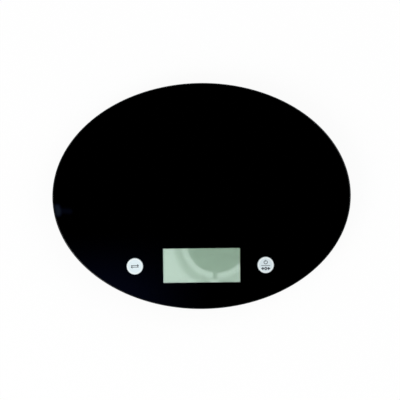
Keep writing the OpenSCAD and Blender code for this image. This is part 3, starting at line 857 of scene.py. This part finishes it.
def silicone_blobs(finish):
    """Rounded blobs over the strain gauges."""
    boxes = solid_boxes("gauge_seals")
    low, high = boxes[0]
    radius = (high.x - low.x) / 2 / mm
    tall = (high.z - low.z) / mm
    steps = 8
    profile = [(0, 0), (radius, 0)]
    for i in range(1, steps + 1):
        turn = math.pi / 2 * i / steps
        profile.append((radius * math.cos(turn) ** 0.6, tall * math.sin(turn)))
    spots = [middle_of(low, high) for low, high in boxes]
    piece = finished("silicone_blobs", repeated(lathe(profile), spots), finish, "housing")
    smooth(piece, 50)
    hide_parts("gauge_seals")


def block(shape, low, high, bevel):
    """Adds a box between two corners, with its edges rounded."""
    made = bmesh.ops.create_cube(shape, size=1.0)["verts"]
    bmesh.ops.scale(shape, vec=high - low, verts=made)
    bmesh.ops.translate(shape, vec=(low + high) / 2, verts=made)
    edges = list({edge for vert in made for edge in vert.link_edges})
    bmesh.ops.bevel(
        shape, geom=edges, offset=bevel, affect="EDGES", segments=2, profile=0.5, material=-1
    )


def board_chips(ceramic, tin, can):
    """Chips with a ceramic middle and tinned ends, and a crystal in its can."""
    middles = bmesh.new()
    ends = bmesh.new()
    longest_chip = 2.5 * mm
    end_share = 0.22
    slimmer = Vector((0, 0.04, 0.04)) * mm
    for low, high in solid_boxes("board_parts"):
        size = high - low
        if size.y > longest_chip:
            crystal_low, crystal_high = low, high
            continue
        along = Vector((size.x, 0, 0))
        tinned = along * end_share
        hidden = tinned * 0.9 + slimmer
        block(middles, low + hidden, high - hidden, 0.03 * mm)
        block(ends, low, high - along + tinned, 0.06 * mm)
        block(ends, low + along - tinned, high, 0.06 * mm)
    pieces = (
        finished("chip_middles", middles, ceramic, "housing"),
        finished("chip_ends", ends, tin, "housing"),
        crystal_can(crystal_low, crystal_high, can),
    )
    for piece in pieces:
        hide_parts("board_parts")


def crystal_can(low, high, finish):
    """A crystal's can, lying on the board, with a rounded end and a lip at its base."""
    radius = (high.x - low.x) / 2 / mm
    long = (high.y - low.y) / mm
    can_r = radius - 0.1
    profile = [
        (0, 0), (radius, 0), (radius, 0.25), (can_r, 0.35), (can_r, long - 0.5),
        (can_r - 0.15, long - 0.15), (can_r - 0.4, long), (0, long),
    ]
    shape = lathe(profile, 32)
    turn = Matrix.Rotation(math.radians(-90), 3, "X")
    bmesh.ops.rotate(shape, cent=(0, 0, 0), matrix=turn, verts=shape.verts[:])
    spot = Vector(((low.x + high.x) / 2, low.y, (low.z + high.z) / 2))
    return smooth(finished("crystal_can", repeated(shape, [spot]), finish, "housing"))


def beside(path, offset):
    """The path again, moved sideways by an offset. Points are (x, y, z)."""
    moved = []
    for i, point in enumerate(path):
        before = (point - path[i - 1]).to_2d() if i else Vector((0, 0))
        after = (path[i + 1] - point).to_2d() if i + 1 < len(path) else Vector((0, 0))
        before = before.normalized() if before.length else after.normalized()
        after = after.normalized() if after.length else before
        across = Vector((-before.y - after.y, before.x + after.x))
        across = across.normalized() / max(0.5, math.cos(before.angle(after) / 2))
        moved.append(point + Vector((across.x, across.y, 0)) * offset)
    return moved


def wires(name, paths, radius, finish, replaced):
    """Round wires along paths in millimetres, as one piece."""
    curve = bpy.data.curves.new(name, "CURVE")
    curve.dimensions = "3D"
    curve.bevel_depth = radius
    curve.bevel_resolution = 3
    curve.use_fill_caps = True
    for path in paths:
        line = curve.splines.new("POLY")
        line.points.add(len(path) - 1)
        for point, place in zip(line.points, path):
            point.co = (*place, 1)
    drawn = bpy.data.objects.new(name + "_curve", curve)
    mesh = bpy.data.meshes.new_from_object(drawn)
    bpy.data.objects.remove(drawn)
    bpy.data.curves.remove(curve)
    shape = bmesh.new()
    shape.from_mesh(mesh)
    bpy.data.meshes.remove(mesh)
    bmesh.ops.scale(shape, vec=(mm, mm, mm), verts=shape.verts[:])
    piece = smooth(finished(name, shape, finish, "housing"), 50)
    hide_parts(replaced)


def rounded(path, radius, steps=6):
    """The path with its inner corners rounded."""
    points = [path[0]]
    for before, corner, after in zip(path, path[1:], path[2:]):
        start = corner + (before - corner).normalized() * min(radius, (before - corner).length / 2)
        end = corner + (after - corner).normalized() * min(radius, (after - corner).length / 2)
        for i in range(steps + 1):
            share = i / steps
            points.append(start.lerp(corner, share).lerp(corner.lerp(end, share), share))
    return points + [path[-1]]


def sensor_wires(finishes):
    """Three wires from each load cell to the board, side by side."""
    radius = 0.4
    fold = 1.35
    bend_from_board = 20.7
    slope = 0.85
    drop = 0.8
    root = 0.6
    front_rise = 1.6
    back_rise = 1.8
    board_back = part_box("circuit_board")[1].y / mm
    paths = []
    for low, high in solid_boxes("sensor_leads"):
        low = low / mm
        high = high / mm
        level = high.z - radius
        side = math.copysign(1, low.x + high.x)
        inner = min(abs(low.x), abs(high.x))
        outer = max(abs(low.x), abs(high.x))
        if high.y < board_back:
            row = (low.y + high.y) / 2
            route = [
                (outer - root, row, level - drop),
                (outer - front_rise, row, level),
                (inner, row, level),
            ]
        else:
            foot_x = outer - fold
            lane_x = inner + fold
            bend = board_back + bend_from_board
            route = [
                (foot_x, high.y - root, level - drop),
                (foot_x, high.y - back_rise, level),
                (foot_x, bend, level),
                (lane_x, bend - (foot_x - lane_x) * slope, level),
                (lane_x, low.y, level),
            ]
        paths.append([Vector((side * x, y, z)) for x, y, z in route])
    bend_r = 2
    for i, (colour, finish) in enumerate(finishes):
        lanes = [rounded(beside(path, (i - 1) * 2 * radius), bend_r) for path in paths]
        wires("sensor_wires_" + colour, lanes, radius, finish, "sensor_leads")


def battery_wires(finishes):
    """A red and a black wire from the battery's contacts to the board."""
    radius = 0.4
    boxes = sorted(solid_boxes("battery_leads"), key=lambda box: -box[0].x)
    for (low, high), (colour, finish) in zip(boxes, finishes):
        x = (low.x + high.x) / 2 / mm
        level = high.z / mm - radius
        path = [Vector((x, high.y / mm, level)), Vector((x, low.y / mm, level))]
        wires("battery_wire_" + colour, [path], radius, finish, "battery_leads")


def raised(shape, outline, level, rise=0.3, sunk=0.05):
    """A flat mark with that outline, in millimetres, that stands down from a level."""
    face = shape.faces.new([shape.verts.new((x, y, level + sunk)) for x, y in outline])
    made = bmesh.ops.extrude_face_region(shape, geom=[face])
    bmesh.ops.translate(shape, vec=(0, 0, -rise - sunk), verts=new_verts(made))


def arc(radius, start, end, steps=24):
    """Points on an arc round the middle, from one angle in degrees to another."""
    angles = [math.radians(start + (end - start) * i / steps) for i in range(steps + 1)]
    return [(radius * math.cos(angle), radius * math.sin(angle)) for angle in angles]


def shifted(points, x, y):
    """The points, moved."""
    return [(x + point[0], y + point[1]) for point in points]


def plus(reach, half_stroke):
    """The outline of a plus sign round the middle."""
    quarter = [(reach, -half_stroke), (reach, half_stroke), (half_stroke, half_stroke)]
    points = []
    for i in range(4):
        turn = Matrix.Rotation(math.pi / 2 * i, 2)
        points += [tuple(turn @ Vector(point)) for point in quarter]
    return points


def cap_mark(shape, shut, level):
    """An arrowhead towards the rim of the cap, where it points when shut, and a plus beside it."""
    tip_r = 12.6
    head_long = 2.4
    head_half = 1.5
    plus_y = 6.2
    way = Vector((math.cos(math.radians(shut)), math.sin(math.radians(shut))))
    across = Vector((-way.y, way.x)) * head_half
    base = way * (tip_r - head_long)
    raised(shape, [way * tip_r, base + across, base - across], level)
    raised(shape, shifted(plus(1.9, 0.35), 0, plus_y), level)


def cover_mark(shape, shut, free, level):
    """A dot where the cap is shut, a hoop where it is free, and a bent arrow from one to the other."""
    row = 16.6
    half_stroke = 0.25
    half_head = 1
    gap = 9
    head_turn = 6
    head_base = free + gap + head_turn
    dot = arc(1.15, 0, 345, 23)
    hoop = arc(1.2, 5, 355) + arc(0.75, 355, 5)
    for mark, angle in ((dot, shut), (hoop, free)):
        raised(shape, shifted(mark, *arc(row, angle, angle, 1)[0]), level)
    outer = arc(row + half_stroke, shut - gap, head_base)
    inner = arc(row - half_stroke, head_base, shut - gap)
    raised(shape, outer + inner, level)
    tip = arc(row, free + gap, head_base, 1)[0]
    barbs = [arc(row + side * half_head, head_base, head_base, 1)[0] for side in (1, -1)]
    raised(shape, [tip] + barbs, level)


def battery_marks(finish):
    """Raised marks that show how the battery cap is put in, and where it shuts and comes free."""
    hinge = next(joint for joint in frame["joints"] if joint["name"] == "battery_lid_turn")
    shut = -90
    free = shut - hinge["range_deg"][1]
    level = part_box("battery_cap")[0].z / mm
    spot = (hinge["pos_m"][0], hinge["pos_m"][1], 0)
    on_cap = bmesh.new()
    cap_mark(on_cap, shut, level)
    on_cover = bmesh.new()
    cover_mark(on_cover, shut, free, level)
    finished("cap_marks", repeated(on_cap, [spot]), finish, "battery_lid")
    finished("cover_marks", repeated(on_cover, [spot]), finish, "housing")


# Stage: floor, lamps, world and camera

def on_glass(offset_px):
    """An offset in the photo, in pixels from the middle of the glass, as metres on the glass."""
    right_and_up = Vector((offset_px.x, -offset_px.y)) * metres_per_px
    return Matrix.Rotation(-glass_turn, 2) @ right_and_up


def add_camera():
    """A camera straight above, over the point that the middle of the photo shows."""
    data = bpy.data.cameras.new("camera")
    data.sensor_width = 36
    data.lens = camera_lens_mm
    data.clip_start = 0.01
    data.clip_end = 20
    camera = bpy.data.objects.new("camera", data)
    bpy.context.scene.collection.objects.link(camera)
    spot = on_glass(Vector((photo_px / 2, photo_px / 2)) - glass_middle_px)
    widest_level = glass_top - 1 * mm
    seen_width = photo_px * metres_per_px
    distance = seen_width * data.lens / data.sensor_width
    camera.location = (spot.x, spot.y, widest_level + distance)
    camera.rotation_euler = (0, 0, -glass_turn)
    bpy.context.scene.camera = camera
    return camera


def add_sheet(name, low, high, height, material):
    """A level sheet of the stage, between two corners."""
    shape = bmesh.new()
    bmesh.ops.create_grid(shape, x_segments=1, y_segments=1, size=0.5)
    size = high - low
    bmesh.ops.scale(shape, vec=(size.x, size.y, 1), verts=shape.verts[:])
    centre = (low + high) / 2
    bmesh.ops.translate(shape, vec=(centre.x, centre.y, height), verts=shape.verts[:])
    mesh = bpy.data.meshes.new(name)
    shape.to_mesh(mesh)
    shape.free()
    mesh.materials.append(material)
    sheet = bpy.data.objects.new(name, mesh)
    bpy.context.scene.collection.objects.link(sheet)
    return sheet


def light_path(finish, *kinds):
    """1 for a ray that is of one of these kinds."""
    outputs = finish.node("ShaderNodeLightPath").socket.node.outputs
    found = Value(finish, outputs[kinds[0]])
    for kind in kinds[1:]:
        found = found.more(Value(finish, outputs[kind]))
    return found


def add_floor():
    """Pale paint that lamps light, nearly white for the camera and in mirrors and glass."""
    white_share = 0.92
    finish = Finish("floor_paint")
    tone = finish.noise(finish.place(), 400, 2)
    paint = finish.plastic(
        Base_Color=finish.mix(tone, (0.96, 0.96, 0.96), (0.98, 0.98, 0.98)),
        Roughness=0.8,
    )
    seen = light_path(finish, "Is Camera Ray", "Is Glossy Ray", "Is Transmission Ray")
    white = finish.node("ShaderNodeEmission", {}, {"Color": (1, 1, 1), "Strength": 1.0})
    material = finish.shown(finish.either(seen * white_share, paint, white))
    far = Vector((6, 6))
    add_sheet("floor", -far, far, 0, material)


def add_world():
    """White at the horizon and dark overhead for gloss, and an even soft white for the rest."""
    world = bpy.data.worlds.new("studio")
    world.use_nodes = True
    bpy.context.scene.world = world
    finish = Finish("studio", world.node_tree)
    soft = 0.62
    direction = finish.node("ShaderNodeTexCoord", output="Generated")
    x, y, z = finish.along(direction)
    overhead = z.fade(0.35, 0.85)
    camera = light_path(finish, "Is Camera Ray")
    mirror = light_path(finish, "Is Glossy Ray", "Is Transmission Ray") * (1 - camera)
    strength = camera + mirror * (1 - overhead) + (1 - camera) * (1 - mirror) * soft
    shader = finish.node(
        "ShaderNodeBackground", {}, {"Color": (1.0, 1.0, 1.0), "Strength": strength}
    )
    finish.node("ShaderNodeOutputWorld", {}, {"Surface": shader})


def add_lamp(name, place, size, power):
    """A square soft lamp that faces the object."""
    data = bpy.data.lights.new(name, "AREA")
    data.shape = "SQUARE"
    data.size = size
    data.energy = power
    lamp = bpy.data.objects.new(name, data)
    bpy.context.scene.collection.objects.link(lamp)
    lamp.location = place
    lamp.rotation_mode = "QUATERNION"
    lamp.rotation_quaternion = (-Vector(place)).to_track_quat("-Z", "Y")


def mirrored_card(name, camera, lift, mirror, low, high, origin_px, painted):
    """A card above the camera that only shows in mirrors, where it covers a part of the glass.

    painted gives its colour and strength from x and y, in pixels of the photo from the origin.
    """
    height = camera.location.z + lift
    grow = (height - mirror + camera.location.z - mirror) / (camera.location.z - mirror)
    seen_from = Vector((camera.location.x, camera.location.y))

    def mirrored(spot):
        return seen_from + (spot - seen_from) * grow

    origin = mirrored(on_glass(origin_px - glass_middle_px)) / mm
    finish = Finish(name)
    x, y, z = finish.along(finish.moved(finish.place(), (-origin.x, -origin.y, 0)))
    px = metres_per_px * grow / mm
    colour, strength = painted(x / px, y / px)
    shader = finish.node("ShaderNodeEmission", {}, {"Color": colour, "Strength": strength})
    card = add_sheet(name, mirrored(low), mirrored(high), height, finish.shown(shader))
    card.visible_camera = False
    card.visible_diffuse = False
    card.visible_shadow = False


def lens_paint(x, y):
    """The camera's lens with a pale card round it: rings, a dark notch and a light spot below it."""
    away = length(x, y)
    strength = 0
    for start, end, rise in lens_steps:
        strength = away.fade(start, end) * rise + strength
    notch = bar(x, y, *lens_notch_px, lens_notch_width)
    spot = bar(x, y, *lens_spot_px, lens_spot_width)
    strength = strength * (1 - (1 - notch.fade(-1.2, 1.2)) * 0.75)
    strength = strength + (1 - spot.fade(-1, 1.6)) * 0.9
    return (0.95, 1.0, 1.0), strength


def glow_paint(x, y):
    """A pale blue light at the left rim and a faint blue one below it."""
    spot = bar(x, y, *rim_light_px, 1)
    tail = bar(x, y, *rim_light_tail_px, 1)
    near = (1 - spot.fade(0, 4.5)) + (1 - tail.fade(0, 4)) * 0.3
    wide = (glow_top_px - y).fade(0, glow_tall_px) * (1 - x.fade(*glow_fades_px))
    colour = near.finish.mix(near, (0.18, 0.28, 1.0), (0.4, 0.58, 1.0))
    return colour, near * 0.34 + wide * 0.18


def add_mirrored_cards(camera):
    """What the display and the glass mirror in the photo."""
    mirrored_card(
        "lens_card", camera, lens_card_lift, panel_high.z, window_low, window_high,
        mirrored_middle_px, lens_paint,
    )
    glass_corner = Vector((half_width, half_depth))
    mirrored_card(
        "glow_card", camera, glow_card_lift, glass_top, -glass_corner, glass_corner / 2,
        glass_middle_px, glow_paint,
    )


bpy.context.scene.view_settings.view_transform = "Standard"
camera = add_camera()
add_world()
add_floor()
add_mirrored_cards(camera)
add_lamp("key_lamp", (-0.9, -0.7, 1.1), size=0.9, power=9.0)
add_lamp("fill_lamp", (1.0, 0.5, 0.9), size=1.1, power=5.0)

# Materials of the CAD nodes, each from a dark and a light shade. Grains are in millimetres.
black_abs = moulded(
    "housing_plastic", (0.009, 0.009, 0.01), (0.022, 0.022, 0.024),
    grain_size=0.3, grain_depth=0.06, roughness=0.42,
)
cover_abs = moulded(
    "cover_plastic", (0.010, 0.010, 0.011), (0.027, 0.027, 0.029),
    grain_size=0.35, grain_depth=0.075, roughness=0.45,
)
# The raised battery marks: smoother from rubbing, and painted lighter than the plastic round them as a
# painted highlight
rubbed_painted_lighter_abs = moulded(
    "rubbed_plastic", (0.022, 0.022, 0.024), (0.04, 0.04, 0.043),
    grain_size=0.3, grain_depth=0.01, roughness=0.25,
)
cap_abs = moulded(
    "cap_plastic", (0.012, 0.012, 0.013), (0.028, 0.028, 0.03),
    grain_size=0.25, grain_depth=0.045, roughness=0.4,
)
foot_abs = moulded(
    "foot_plastic", (0.018, 0.018, 0.02), (0.032, 0.032, 0.035),
    grain_size=0.25, grain_depth=0.012, roughness=0.35,
)
white_abs = moulded(
    "frame_plastic", (0.66, 0.66, 0.63), (0.74, 0.74, 0.72),
    grain_size=0.3, grain_depth=0.01, roughness=0.4,
)
nylon = moulded(
    "white_nylon", (0.72, 0.72, 0.7), (0.8, 0.8, 0.79),
    grain_size=0.15, grain_depth=0.005, roughness=0.35,
)
pad_rubber = rubber("pad_rubber", (0.16, 0.16, 0.16), (0.24, 0.24, 0.235))
spring_steel = metal(
    "spring_steel", (0.5, 0.51, 0.53), (0.6, 0.61, 0.62), roughness=0.28, stretch=(0.05, 1, 1)
)
zinc = metal("zinc_plate", (0.5, 0.5, 0.52), (0.62, 0.62, 0.63), roughness=0.3, line_width=0.2)
strip_metal = metal(
    "contact_metal", (0.62, 0.55, 0.36), (0.72, 0.66, 0.46), roughness=0.25, stretch=(0.1, 1, 1)
)
red_cover = wire_cover("red_cover", (0.36, 0.018, 0.014), (0.46, 0.03, 0.024))
white_cover = wire_cover("white_cover", (0.68, 0.68, 0.65), (0.78, 0.78, 0.76))
black_cover = wire_cover("black_cover", (0.012, 0.012, 0.012), (0.03, 0.03, 0.03))
switch_finish = switch_body()
white_silicone = silicone()
nickel = battery_can()

dress("glass_platform", glass())
dress("back_print", black_print())
dress("mounting_tape", foam_tape())
dress("upper_housing", black_abs)
dress("bottom_cover", cover_abs)
dress("lcd_panel", display_panel())
dress("display_frame", white_abs)
dress("contact_strip", zebra_rubber())
dress("circuit_board", circuit_board_green())
dress("main_chip", chip_resin())
dress("board_parts", zinc)
# The tare button is painted darker than the unit button: painted shade, the same plastic under other
# light
dress("unit_button", button_plastic("unit_button", unit_mark, 0.98))
dress("tare_button", button_plastic("tare_button", tare_mark, 0.84))
for node in ("unit_switch", "tare_switch"):
    dress(node, switch_finish)
for node in ("unit_switch_stem", "tare_switch_stem"):
    dress(node, nylon)
for corner in corners:
    dress("load_cell_" + corner, spring_steel)
    dress("foot_cup_" + corner, foot_abs)
    dress("foot_pad_" + corner, pad_rubber)
dress("gauge_seals", white_silicone)
dress("sensor_leads", red_cover)
dress("battery_leads", black_cover)
dress("battery_cell", nickel)
dress("positive_contact", strip_metal)
dress("negative_contact", strip_metal)
dress("battery_cap", cap_abs)
dress("housing_screws", zinc)
dress("board_screws", zinc)

# New pieces
foot_pads(pad_rubber)
screws("housing_screws", head_t=1.8, thread_r=1.2, finish=zinc)
screws("board_screws", head_t=1.2, thread_r=0.9, finish=zinc)
battery_marks(rubbed_painted_lighter_abs)
coin_battery(nickel, nylon)
silicone_blobs(white_silicone)
board_chips(chip_ceramic(), zinc, zinc)
sensor_wires([("red", red_cover), ("white", white_cover), ("black", black_cover)])
battery_wires([("red", red_cover), ("black", black_cover)])
